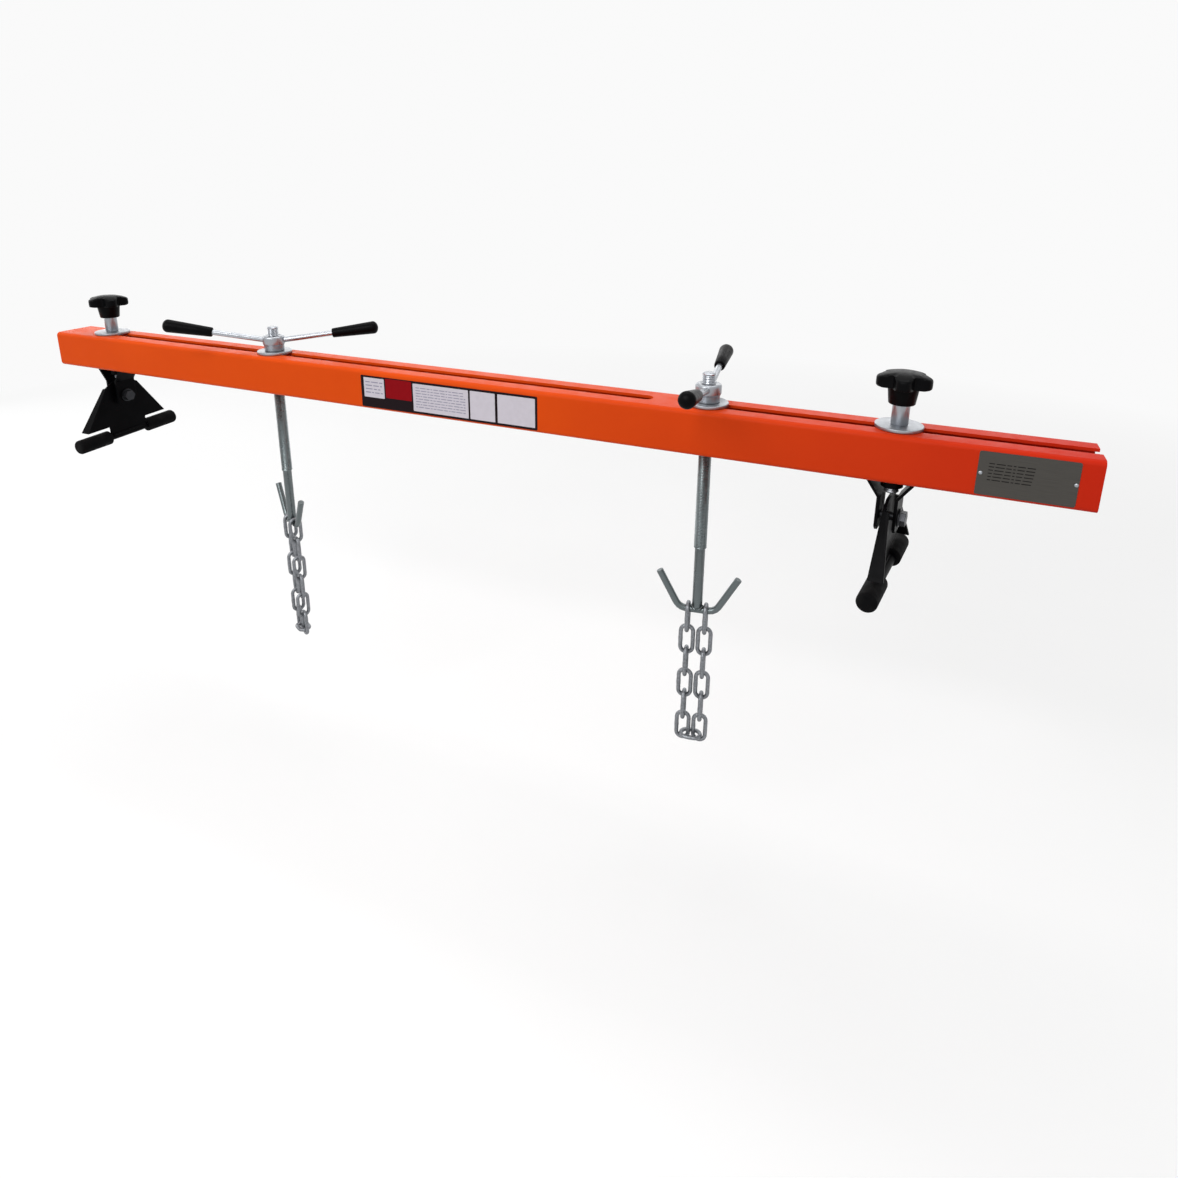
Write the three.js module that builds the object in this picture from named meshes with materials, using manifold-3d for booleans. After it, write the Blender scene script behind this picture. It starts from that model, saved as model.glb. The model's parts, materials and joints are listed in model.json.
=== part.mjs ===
// Engine support bar: a slotted steel beam that lies across an engine bay on two clamped feet
// and carries the engine on two screw-adjusted double hooks with chain loops.
//
// Lengths are in millimetres. X runs along the beam, Y away from the viewer, Z up.
// The origin is the middle of the beam's section at half its length.

import * as THREE from 'three';
import { mergeVertices } from 'three/addons/utils/BufferGeometryUtils.js';
import Module from 'manifold-3d';

// Clearances
const restGap = 0.3; // between a piece and the moving neighbour that it rests on
const threadGap = 0.3; // all round a rod in a threaded or plain bore
const sleeveGap = 0.1; // all round a rod in a pushed-on rubber or plastic part

// Beam
const beamLength = 1500;
const beamWidth = 66;
const beamHeight = 55;
const beamWall = 3.5;
const beamCornerRadius = 6;
const slotClearance = 1; // between the slot and the rods on each side
const leftSlotMargin = 55; // from the left end to the left slot
const landMargin = 423; // from the right end to the closed land between the slots
const landLength = 49;

// Places of the four carriages as the bar stands at rest: the supports are measured from
// the beam's ends, the lifts from the land between the slots
const leftSupportMargin = 90;
const rightSupportMargin = 191;
const leftLiftReach = 593;
const rightLiftReach = 19;

// Turned positions at rest, in degrees
const leftTiltDegrees = 1.7; // of the foot on its bolt
const rightTiltDegrees = 0;
const leftSwivelDegrees = 0; // of the bracket and its foot round the stud
const rightSwivelDegrees = -8.5;
const leftKnobDegrees = -24;
const rightKnobDegrees = -18;
const leftHandleDegrees = 33;
const rightHandleDegrees = 95.2;
const leftHookDegrees = -28;
const rightHookDegrees = 8;

// Star knob and clamp stud
const knobRadius = 30;
const knobRimHeight = 17;
const knobDome = 5;
const knobShoulderDrop = 1.25; // from the crown's top to its shoulder at half radius
const knobLobeDepth = 11;
const knobLobeCount = 5;
const lobeShare = 1.2; // exponent of the lobes' wave: below 1 the valleys grow wide, above 1 the lobes
const knobEdgeRound = 3;
const knobHubTopRadius = 16.5;
const knobHubBottomRadius = 14;
const knobHubHeight = 19;
const knobBoreDepth = 22;
const studRadius = 8;
const studShoulderRadius = 9.2;
const studShoulderHeight = 22.5;
const studTail = 7; // of the stud's thread below the bracket's boss
const clampWasherRadius = 27;
const clampWasherThickness = 3.8;
const washerEdge = 0.5;

// Clamp bracket under the beam: a folded saddle with two cheeks
const bracketTopHalfWidth = 25.5;
const bracketNeckHalfWidth = 11.5;
const bracketPlate = 3.5;
const bracketDepth = 34;
const bracketFlareHeight = 23;
const bracketHeight = 63;
const bracketCornerCut = 5;
const bracketCornerRise = 5;
const bossRadius = 12;
const bossHeight = 9;
const pivotMargin = 14.3; // from the bracket's lower edge up to the foot's pivot
const pivotRadius = 5;
const pivotEnd = 0.8; // of the bolt beyond the far cheek
const boltHeadHeight = 6.4;
const boltHeadRadius = 9;
const boltWasherRadius = 10.5;
const boltWasherThickness = 1.6;

// Foot: a tapered plate with folded slanting edges, welded to a cross bar with two rubber sleeves.
// The left foot's edges are folded away from the right foot's.
const leftFoldFacing = -1;
const rightFoldFacing = 1;
const footPlate = 3.5;
const footPivotGap = 0.5; // all round the bolt
const footTopRise = 25; // above the pivot
const footTopHalfWidth = 15;
const footShoulderRise = 16;
const footShoulderHalfWidth = 29.5;
const footCornerHalfWidth = 72.5;
const footCornerDrop = 48.5;
const foldShoulderWidth = 7;
const foldCornerWidth = 17;
const footTabHalfWidth = 33;
const barDrop = 66.5; // from the pivot down to the bar's axis
const barOffset = 3; // from the plate's middle towards the folds
const barRadius = 6;
const barHalfLength = 85;
const sleeveRadius = 11.5;
const sleeveStart = 35.5;
const sleeveEnd = 90;
const sleeveRound = 4.5;
const sleeveChamfer = 1.5;

// Screw lifts
const screwRadius = 8;
const shankRadius = 6.5;
const screwTopZ = 67;
const threadEndZ = -158;
const screwChamfer = 1.5;
const slideWasherRadius = 24.5;
const slideWasherThickness = 3.8;
const nutBaseRadius = 14;
const nutBaseHeight = 7.5;
const nutCollarRadius = 15.5;
const nutHeight = 22;
const nutEdge = 2.5;
const nutFoot = 1; // chamfer under the nut
const leverRadius = 4;
const leverSeatRadius = 10.5; // from the screw's axis to the lever's inner end
const leverRise = 13.5; // of the lever's axis over the nut's foot, at the nut's centre
const leverOneTiltDegrees = 6.6;
const leverTwoTiltDegrees = 10.4;
const gripStart = 85;
const gripLength = 67.5;
const gripNeckRadius = 6.7;
const gripWideRadius = 8.8;
const gripDomeLength = 7;
const gripShoulder = 2;
const leverInGrip = 42;

// Double hook
const hookBarRadius = 4.5;
const hookBarZ = -246;
const hookCornerX = 23;
const hookBendLength = 9.5;
const hookTipX = 50;
const hookTipRise = 49.5;

// Chain
const linkWireRadius = 2.75;
const linkBendRadius = 8; // of the wire's centre line
const linkStraight = 22.6;
const strandLinks = 6; // an even number, so that the closing link lies level through both strands
const closingStraight = 9.6;

// Fineness of round shapes
const roundSegments = 32;
const rodSegments = 20;
const wireSegments = 8;
const linkBendSegments = 6; // an even number, so that a step falls on the crown of each bend
const sweepSegments = 6;
const lobeSegments = 8;
const leverSegments = 14;
const hexSides = 6;
const weldDistance = 1e-4; // below which two points of a mesh are one

// Sizes that follow from those above
const halfHeight = beamHeight / 2;
const slotWidth = 2 * (Math.max(studRadius, screwRadius) + slotClearance);
const beamTopZ = halfHeight;
const beamBottomZ = -halfHeight;
const landEndX = beamLength / 2 - landMargin;
const landStartX = landEndX - landLength;
const leftSupportX = leftSupportMargin - beamLength / 2;
const rightSupportX = beamLength / 2 - rightSupportMargin;
const leftLiftX = landStartX - leftLiftReach;
const rightLiftX = landEndX + rightLiftReach;
const pivotZ = beamBottomZ - restGap - bracketHeight + pivotMargin;
const linkPitch = linkStraight + 2 * linkBendRadius - 2 * linkWireRadius - restGap;
const strandX = linkStraight / 2;

// Surfaces
const surface = (name, color, roughness, metalness) => {
  const material = new THREE.MeshStandardMaterial({ color, roughness, metalness });
  material.name = name;
  return material;
};
const orangePaint = surface('orange_powder_coat', 0xdc4a17, 0.42, 0.0);
const blackPaint = surface('black_powder_coat', 0x17181a, 0.5, 0.1);
const blackPlastic = surface('black_plastic', 0x151517, 0.48, 0.0);
const blackRubber = surface('black_rubber', 0x1b1b1b, 0.8, 0.0);
const brightZinc = surface('bright_zinc', 0xc4c8cc, 0.34, 0.9);
const dullZinc = surface('dull_zinc', 0x8e979c, 0.42, 0.9);
const chainSteel = surface('galvanised_chain', 0x8b8a86, 0.45, 0.85);

// Solid operations
const wasm = await Module();
wasm.setup();

const degrees = (angle) => THREE.MathUtils.degToRad(angle);

// Drops the triangles that a revolve leaves folded flat on its axis.
function withoutFlatTriangles(index) {
  const kept = [];
  for (let i = 0; i < index.length; i += 3) {
    const [a, b, c] = [index[i], index[i + 1], index[i + 2]];
    if (a !== b && b !== c && c !== a) kept.push(a, b, c);
  }
  return new Uint32Array(kept);
}

function solidOf(geometry) {
  const bare = geometry.clone();
  bare.deleteAttribute('normal');
  bare.deleteAttribute('uv');
  const merged = mergeVertices(bare, weldDistance);
  const mesh = new wasm.Mesh({
    numProp: 3,
    vertProperties: new Float32Array(merged.attributes.position.array),
    triVerts: withoutFlatTriangles(merged.index.array),
  });
  return new wasm.Manifold(mesh);
}

function geometryOf(solid) {
  const mesh = solid.getMesh();
  const geometry = new THREE.BufferGeometry();
  geometry.setAttribute('position', new THREE.BufferAttribute(mesh.vertProperties, 3));
  geometry.setIndex(new THREE.BufferAttribute(mesh.triVerts, 1));
  geometry.computeVertexNormals();
  return geometry;
}

const joined = (first, ...others) => others.reduce(
  (whole, next) => whole.add(solidOf(next)), solidOf(first));
const cut = (solid, ...tools) => tools.reduce((whole, tool) => whole.subtract(solidOf(tool)), solid);

// Shape helpers
const xAxis = new THREE.Vector3(1, 0, 0);
const yAxis = new THREE.Vector3(0, 1, 0);
const zAxis = new THREE.Vector3(0, 0, 1);

// A profile of [radius, z] pairs turned about the Z axis.
function revolved(profile, segments = roundSegments) {
  const points = profile.map(([radius, z]) => new THREE.Vector2(radius, z));
  return new THREE.LatheGeometry(points, segments).rotateX(Math.PI / 2);
}

// A round bar on the Z axis between two heights.
function bar(radius, bottomZ, topZ, segments = rodSegments) {
  return revolved([[0, bottomZ], [radius, bottomZ], [radius, topZ], [0, topZ]], segments);
}

// A disc with a hole on the Z axis.
function ring(innerRadius, outerRadius, bottomZ, topZ, edge) {
  return revolved([
    [innerRadius, bottomZ],
    [outerRadius - edge, bottomZ],
    [outerRadius, bottomZ + edge],
    [outerRadius, topZ - edge],
    [outerRadius - edge, topZ],
    [innerRadius, topZ],
    [innerRadius, bottomZ],
  ]);
}

function outline(points) {
  return new THREE.Shape(points.map(([x, y]) => new THREE.Vector2(x, y)));
}

function roundedRectangle(width, height, radius) {
  const [x, y] = [width / 2, height / 2];
  const shape = new THREE.Shape();
  shape.moveTo(x - radius, -y);
  shape.absarc(x - radius, -y + radius, radius, -Math.PI / 2, 0);
  shape.absarc(x - radius, y - radius, radius, 0, Math.PI / 2);
  shape.absarc(-x + radius, y - radius, radius, Math.PI / 2, Math.PI);
  shape.absarc(-x + radius, -y + radius, radius, Math.PI, 1.5 * Math.PI);
  return shape;
}

// A shape drawn in the Y-Z plane and pushed along X from startX to endX.
function pushedAlongX(shape, startX, endX, curveSegments = sweepSegments) {
  const geometry = new THREE.ExtrudeGeometry(shape, {
    depth: endX - startX,
    bevelEnabled: false,
    curveSegments,
  });
  geometry.applyMatrix4(new THREE.Matrix4().makeBasis(yAxis, zAxis, xAxis));
  return geometry.translate(startX, 0, 0);
}

// A shape drawn in the X-Z plane and pushed along Y, equally to both sides.
function pushedAlongY(shape, depth) {
  const geometry = new THREE.ExtrudeGeometry(shape, { depth, bevelEnabled: false });
  geometry.applyMatrix4(new THREE.Matrix4().makeBasis(xAxis, zAxis, yAxis.clone().negate()));
  return geometry.translate(0, depth / 2, 0);
}

// A round bar along X through (y, z).
function crossBar(radius, startX, endX, y, z, segments = rodSegments) {
  return bar(radius, startX, endX, segments).rotateY(Math.PI / 2).translate(0, y, z);
}

function piece(name, geometry, material) {
  const mesh = new THREE.Mesh(geometry, material.clone());
  mesh.name = name;
  return mesh;
}

// Beam: rectangular tube, open at both ends, with a slot for each side in its top and bottom walls
function slotCutter(startX, endX) {
  const radius = slotWidth / 2;
  const shape = new THREE.Shape();
  shape.absarc(startX + radius, 0, radius, Math.PI / 2, 1.5 * Math.PI);
  shape.absarc(endX - radius, 0, radius, -Math.PI / 2, Math.PI / 2);
  const geometry = new THREE.ExtrudeGeometry(shape, {
    depth: 2 * beamHeight,
    bevelEnabled: false,
    curveSegments: roundSegments / 4,
  });
  return geometry.translate(0, 0, -beamHeight);
}

function beamTube() {
  const section = roundedRectangle(beamWidth, beamHeight, beamCornerRadius);
  section.holes.push(roundedRectangle(
    beamWidth - 2 * beamWall, beamHeight - 2 * beamWall, beamCornerRadius - beamWall));
  const tube = solidOf(pushedAlongX(section, -beamLength / 2, beamLength / 2));
  const leftSlot = slotCutter(leftSlotMargin - beamLength / 2, landStartX);
  const rightSlot = slotCutter(landEndX, beamLength / 2 + slotWidth);
  return piece('beam_tube', geometryOf(cut(tube, leftSlot, rightSlot)), orangePaint);
}

// Star knob: a domed, lobed rim on a tapered hub with a blind bore for the stud
function lobedOutline() {
  const count = knobLobeCount * lobeSegments;
  const points = [];
  for (let i = 0; i < count; i += 1) {
    const angle = (2 * Math.PI * i) / count;
    const dip = ((1 - Math.cos(knobLobeCount * angle)) / 2) ** lobeShare;
    const radius = knobRadius - knobLobeDepth * dip;
    points.push([radius * Math.cos(angle), radius * Math.sin(angle)]);
  }
  return outline(points);
}

function starKnob(side, knobDegrees) {
  const hubBottom = beamTopZ + 2 * restGap + clampWasherThickness + studShoulderHeight + restGap;
  const rimBottom = hubBottom + knobHubHeight;
  const rimTop = rimBottom + knobRimHeight;
  const lobes = new THREE.ExtrudeGeometry(lobedOutline(), { depth: knobRimHeight, bevelEnabled: false });
  const dome = revolved([
    [0, rimBottom],
    [knobRadius - knobEdgeRound, rimBottom],
    [knobRadius, rimBottom + knobEdgeRound],
    [knobRadius, rimTop - knobDome - knobEdgeRound],
    [knobRadius - knobEdgeRound, rimTop - knobDome],
    [knobRadius / 2, rimTop - knobShoulderDrop],
    [0, rimTop],
  ], knobLobeCount * lobeSegments);
  const rim = solidOf(lobes.translate(0, 0, rimBottom)).intersect(solidOf(dome));
  const hub = revolved([
    [0, hubBottom],
    [knobHubBottomRadius, hubBottom],
    [knobHubTopRadius, rimBottom + knobEdgeRound],
    [0, rimBottom + knobEdgeRound],
  ]);
  const bore = bar(studRadius + sleeveGap, hubBottom - knobHubHeight, hubBottom + knobBoreDepth);
  const knob = piece(`${side}_star_knob`, geometryOf(cut(rim.add(solidOf(hub)), bore)), blackPlastic);
  knob.rotation.z = degrees(knobDegrees);
  return knob;
}

// Clamp stud: its shoulder presses the washer on the beam, its thread draws the bracket up
function clampStud(side) {
  const shoulderBottom = beamTopZ + 2 * restGap + clampWasherThickness;
  const shoulderTop = shoulderBottom + studShoulderHeight;
  const bottom = beamBottomZ - restGap - bracketPlate - bossHeight - studTail;
  const top = shoulderTop + knobBoreDepth;
  const profile = [
    [0, bottom],
    [studRadius - screwChamfer, bottom],
    [studRadius, bottom + screwChamfer],
    [studRadius, shoulderBottom],
    [studShoulderRadius, shoulderBottom],
    [studShoulderRadius, shoulderTop],
    [studRadius, shoulderTop],
    [studRadius, top],
    [0, top],
  ];
  return piece(`${side}_clamp_stud`, revolved(profile, rodSegments), brightZinc);
}

function washer(name, outerRadius, thickness, holeRadius) {
  const bottom = beamTopZ + restGap;
  return piece(name, ring(holeRadius, outerRadius, bottom, bottom + thickness, washerEdge), brightZinc);
}

// Clamp bracket: flared saddle narrowing to two parallel cheeks, with a threaded boss inside
function bracketSection() {
  const top = beamBottomZ - restGap;
  const bend = top - bracketFlareHeight;
  const bottom = top - bracketHeight;
  const slope = (bracketTopHalfWidth - bracketNeckHalfWidth) / bracketFlareHeight;
  const flareWall = bracketPlate * Math.sqrt(1 + slope * slope);
  const half = [
    [bracketTopHalfWidth, top],
    [bracketTopHalfWidth, top - bracketPlate],
    [bracketNeckHalfWidth, bend],
    [bracketNeckHalfWidth, bottom],
    [bracketNeckHalfWidth - bracketPlate, bottom],
    [bracketNeckHalfWidth - bracketPlate, bend],
    [bracketTopHalfWidth - flareWall, top - bracketPlate],
  ];
  const mirrored = half.map(([x, z]) => [-x, z]).reverse();
  return outline([...half, ...mirrored]);
}

function supportBracket(side) {
  const top = beamBottomZ - restGap;
  const saddle = pushedAlongY(bracketSection(), bracketDepth);
  const boss = bar(bossRadius, top - bracketPlate - bossHeight, top - bracketPlate / 2);
  const bore = bar(studRadius + threadGap, top - bracketHeight, top + bracketPlate);
  const boltHole = crossBar(
    pivotRadius + threadGap, -bracketTopHalfWidth, bracketTopHalfWidth, 0, pivotZ);
  const bottom = top - bracketHeight;
  const corners = [-1, 1].map((face) => pushedAlongX(outline([
    [face * (bracketDepth / 2 - bracketCornerCut), bottom - bracketPlate],
    [face * bracketDepth, bottom - bracketPlate],
    [face * bracketDepth, bottom + bracketCornerRise],
    [face * bracketDepth / 2, bottom + bracketCornerRise],
    [face * (bracketDepth / 2 - bracketCornerCut), bottom],
  ]), -bracketTopHalfWidth, bracketTopHalfWidth));
  const body = cut(joined(saddle, boss), bore, boltHole, ...corners);
  return piece(`${side}_support_bracket`, geometryOf(body), blackPaint);
}

// Pivot bolt: its head stands on a washer at one cheek, its end is screwed into the other cheek
function pivotBolt(side) {
  const face = bracketNeckHalfWidth;
  const headStart = face + boltWasherThickness;
  const shank = crossBar(pivotRadius, -face - pivotEnd, headStart + boltHeadHeight / 2, 0, pivotZ);
  const flange = crossBar(boltWasherRadius, face + sleeveGap, headStart, 0, pivotZ);
  const head = crossBar(boltHeadRadius, face + sleeveGap, headStart + boltHeadHeight, 0, pivotZ, hexSides);
  return piece(`${side}_pivot_bolt`, geometryOf(joined(shank, flange, head)), blackPaint);
}

// Folded slanting edges of a foot: two strips cut to a wedge that widens towards the corners
function foldedEdges(foldFacing) {
  const rise = footShoulderRise + footCornerDrop;
  const run = footCornerHalfWidth - footShoulderHalfWidth;
  const wall = footPlate * Math.hypot(run, rise) / rise;
  const strips = [-1, 1].map((face) => pushedAlongX(outline([
    [face * footShoulderHalfWidth, footShoulderRise],
    [face * footCornerHalfWidth, -footCornerDrop],
    [face * (footCornerHalfWidth - wall), -footCornerDrop],
    [face * (footShoulderHalfWidth - wall), footShoulderRise],
  ]), -foldCornerWidth, foldCornerWidth));
  const back = -foldFacing * footPlate / 2;
  const wedge = pushedAlongY(outline([
    [back, footShoulderRise],
    [back, -footCornerDrop],
    [back + foldFacing * foldCornerWidth, -footCornerDrop],
    [back + foldFacing * foldShoulderWidth, footShoulderRise],
  ]), 2 * footCornerHalfWidth);
  return joined(...strips).intersect(solidOf(wedge));
}

// Foot frame, drawn about its pivot: tapered plate with folded slanting edges, a tab and the bar
function footFrame(side, foldFacing) {
  const plate = pushedAlongX(outline([
    [-footTopHalfWidth, footTopRise],
    [-footShoulderHalfWidth, footShoulderRise],
    [-footCornerHalfWidth, -footCornerDrop],
    [-footTabHalfWidth, -footCornerDrop],
    [-footTabHalfWidth, -barDrop],
    [footTabHalfWidth, -barDrop],
    [footTabHalfWidth, -footCornerDrop],
    [footCornerHalfWidth, -footCornerDrop],
    [footShoulderHalfWidth, footShoulderRise],
    [footTopHalfWidth, footTopRise],
  ]), -footPlate / 2, footPlate / 2);
  const rod = bar(barRadius, -barHalfLength, barHalfLength).rotateX(Math.PI / 2);
  const frame = joined(plate, rod.translate(foldFacing * barOffset, 0, -barDrop));
  const boltHole = crossBar(pivotRadius + footPivotGap, -footPlate, footPlate, 0, 0);
  const body = cut(frame.add(foldedEdges(foldFacing)), boltHole);
  return piece(`${side}_foot_frame`, geometryOf(body), blackPaint);
}

// Rubber sleeve pushed over one end of the cross bar: facing -1 points at the viewer
function rubberSleeve(name, facing, foldFacing) {
  const bore = barRadius + sleeveGap;
  const boreEnd = barHalfLength + sleeveGap;
  const profile = [
    [0, boreEnd],
    [bore, boreEnd],
    [bore, sleeveStart],
    [sleeveRadius, sleeveStart],
    [sleeveRadius, sleeveEnd - sleeveRound],
    [sleeveRadius - sleeveChamfer, sleeveEnd - sleeveChamfer],
    [sleeveRadius - sleeveRound, sleeveEnd],
    [0, sleeveEnd],
  ];
  const sleeve = revolved(profile, rodSegments).rotateX(-facing * Math.PI / 2);
  return piece(name, sleeve.translate(foldFacing * barOffset, 0, -barDrop), blackRubber);
}

function support(side, x, knobDegrees, foldFacing, tiltDegrees, swivelDegrees) {
  const carriage = new THREE.Group();
  carriage.name = `${side}_support`;
  carriage.position.x = x;
  const foot = new THREE.Group();
  foot.name = `${side}_foot`;
  foot.position.z = pivotZ;
  foot.rotation.x = degrees(tiltDegrees);
  foot.add(
    footFrame(side, foldFacing),
    rubberSleeve(`${side}_sleeve_front`, -1, foldFacing),
    rubberSleeve(`${side}_sleeve_back`, 1, foldFacing),
  );
  const swivel = new THREE.Group();
  swivel.name = `${side}_swivel`;
  swivel.rotation.z = degrees(swivelDegrees);
  swivel.add(supportBracket(side), pivotBolt(side), foot);
  carriage.add(
    starKnob(side, knobDegrees),
    clampStud(side),
    washer(`${side}_clamp_washer`, clampWasherRadius, clampWasherThickness, studRadius + threadGap),
    swivel,
  );
  return carriage;
}

// Handle nut: stepped hub, bored for the screw, with two drilled seats for the levers
function handleNut(side) {
  const profile = [
    [screwRadius + threadGap, 0],
    [nutBaseRadius - nutFoot, 0],
    [nutBaseRadius, nutFoot],
    [nutBaseRadius, nutBaseHeight],
    [nutCollarRadius, nutBaseHeight + nutEdge],
    [nutCollarRadius, nutHeight - nutEdge],
    [nutCollarRadius - nutEdge, nutHeight],
    [screwRadius + threadGap, nutHeight],
    [screwRadius + threadGap, 0],
  ];
  const seats = levers.map((lever) => leverPlaced(
    bar(leverRadius + sleeveGap, leverSeatRadius - sleeveGap, gripStart), lever));
  return piece(`${side}_handle_nut`, geometryOf(cut(solidOf(revolved(profile)), ...seats)), brightZinc);
}

// The two levers of a nut, each with its turn about the screw and its own tilt
const levers = [
  { name: 'one', turnDegrees: 0, tiltDegrees: leverOneTiltDegrees },
  { name: 'two', turnDegrees: 180, tiltDegrees: leverTwoTiltDegrees },
];

// Lays a lever or grip, drawn along Z from the screw's axis, out to one side and tilts it up.
function leverPlaced(geometry, lever) {
  return geometry
    .rotateY(Math.PI / 2 - degrees(lever.tiltDegrees))
    .translate(0, 0, leverRise)
    .rotateZ(degrees(lever.turnDegrees));
}

function leverRod(side, lever) {
  const rod = bar(leverRadius, leverSeatRadius, gripStart + leverInGrip, leverSegments);
  return piece(`${side}_lever_${lever.name}`, leverPlaced(rod, lever), brightZinc);
}

function leverGrip(side, lever) {
  const bore = leverRadius + sleeveGap;
  const boreEnd = gripStart + leverInGrip + sleeveGap;
  const end = gripStart + gripLength;
  const domeCentre = end - gripDomeLength;
  const dome = [0, 30, 60, 90].map((angle) => [
    gripWideRadius * Math.cos(degrees(angle)),
    domeCentre + (end - domeCentre) * Math.sin(degrees(angle)),
  ]);
  dome[dome.length - 1][0] = 0;
  const profile = [
    [0, boreEnd],
    [bore, boreEnd],
    [bore, gripStart],
    [gripNeckRadius - gripShoulder / 2, gripStart],
    [gripNeckRadius, gripStart + gripShoulder],
    ...dome,
  ];
  const grip = revolved(profile, rodSegments);
  return piece(`${side}_grip_${lever.name}`, leverPlaced(grip, lever), blackPlastic);
}

// Lifting screw: threaded upper part, plain shank, end shaped to the hook bar
function liftingScrew(side) {
  const bottom = hookBarZ + hookBarRadius / 2;
  const profile = [
    [0, bottom],
    [shankRadius, bottom],
    [shankRadius, threadEndZ - screwChamfer],
    [screwRadius, threadEndZ],
    [screwRadius, screwTopZ - screwChamfer],
    [screwRadius - screwChamfer, screwTopZ],
    [0, screwTopZ],
  ];
  const rod = solidOf(revolved(profile, rodSegments));
  const saddle = crossBar(hookBarRadius + sleeveGap, -hookTipX, hookTipX, 0, hookBarZ);
  return piece(`${side}_lifting_screw`, geometryOf(cut(rod, saddle)), dullZinc);
}

// Double hook: one round bar bent up at both ends
function hookPath() {
  const armAngle = Math.atan2(hookTipRise, hookTipX - hookCornerX);
  const point = (x, z) => new THREE.Vector3(x, 0, z);
  const bendX = hookCornerX - hookBendLength;
  const armX = hookCornerX + hookBendLength * Math.cos(armAngle);
  const armZ = hookBarZ + hookBendLength * Math.sin(armAngle);
  const tipZ = hookBarZ + hookTipRise;
  const path = new THREE.CurvePath();
  path.add(new THREE.LineCurve3(point(-hookTipX, tipZ), point(-armX, armZ)));
  path.add(new THREE.QuadraticBezierCurve3(
    point(-armX, armZ), point(-hookCornerX, hookBarZ), point(-bendX, hookBarZ)));
  path.add(new THREE.LineCurve3(point(-bendX, hookBarZ), point(bendX, hookBarZ)));
  path.add(new THREE.QuadraticBezierCurve3(
    point(bendX, hookBarZ), point(hookCornerX, hookBarZ), point(armX, armZ)));
  path.add(new THREE.LineCurve3(point(armX, armZ), point(hookTipX, tipZ)));
  return path;
}

function doubleHook(side) {
  const circle = new THREE.Shape().absarc(0, 0, hookBarRadius, 0, 2 * Math.PI);
  const geometry = new THREE.ExtrudeGeometry(circle, {
    steps: roundSegments,
    extrudePath: hookPath(),
    curveSegments: sweepSegments,
  });
  return piece(`${side}_double_hook`, geometry, dullZinc);
}

// Centre line of a chain link in the X-Z plane: two half circles joined by two straight legs.
// The curve is sampled so that every joint between an arc and a leg falls on a step.
class LinkPath extends THREE.Curve {
  constructor(straight) {
    super();
    this.straight = straight;
    this.steps = 2 * (linkBendSegments + 1);
  }

  at(t) {
    const step = (t % 1) * this.steps;
    const lower = step >= this.steps / 2;
    const along = lower ? step - this.steps / 2 : step;
    const angle = Math.min(along / linkBendSegments, 1) * Math.PI;
    const leg = Math.max(along - linkBendSegments, 0) * this.straight;
    const turn = lower ? Math.PI : 0;
    const [dx, dz] = [Math.cos(angle + turn), Math.sin(angle + turn)];
    const centreZ = (lower ? -1 : 1) * (this.straight / 2 - leg);
    return {
      point: new THREE.Vector3(linkBendRadius * dx, 0, linkBendRadius * dz + centreZ),
      tangent: new THREE.Vector3(-dz, 0, dx),
    };
  }

  getPoint(t) {
    return this.at(t).point;
  }

  getPointAt(t) {
    return this.at(t).point;
  }

  getTangentAt(t) {
    return this.at(t).tangent;
  }
}

// A link in the X-Z plane, centred on the origin.
function linkGeometry(straight) {
  const path = new LinkPath(straight);
  return new THREE.TubeGeometry(path, path.steps, linkWireRadius, wireSegments, true);
}

// One hanging strand: odd links lie in the Y-Z plane, even links in the X-Z plane
function strand(side, letter, x) {
  const group = new THREE.Group();
  group.name = `${side}_strand_${letter}`;
  group.position.x = x;
  const firstCentre = firstLinkZ();
  for (let i = 0; i < strandLinks; i += 1) {
    const geometry = linkGeometry(linkStraight);
    if (i % 2 === 0) geometry.rotateZ(Math.PI / 2);
    const link = piece(`${side}_chain_${letter}${i + 1}`, geometry, chainSteel);
    link.position.z = firstCentre - i * linkPitch;
    group.add(link);
  }
  return group;
}

// Height of the first link's centre: its inner bend hangs on top of the hook bar.
function firstLinkZ() {
  const innerTop = hookBarZ + hookBarRadius + restGap;
  return innerTop + linkWireRadius - linkBendRadius - linkStraight / 2;
}

// The closing link lies level: each of its bends rests in the lowest bend of one strand.
function closingLink(side) {
  const geometry = linkGeometry(closingStraight).rotateY(Math.PI / 2).rotateX(Math.PI / 2);
  const link = piece(`${side}_chain_closing`, geometry, chainSteel);
  const lastCentre = firstLinkZ() - (strandLinks - 1) * linkPitch;
  const offset = closingStraight / 2 + linkBendRadius - strandX;
  const seatRadius = linkBendRadius - 2 * linkWireRadius - restGap;
  link.position.z = lastCentre - linkStraight / 2 - Math.sqrt(seatRadius ** 2 - offset ** 2);
  return link;
}

function chainLoop(side) {
  const loop = new THREE.Group();
  loop.name = `${side}_chain`;
  loop.add(strand(side, 'a', -strandX), strand(side, 'b', strandX), closingLink(side));
  return loop;
}

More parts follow.
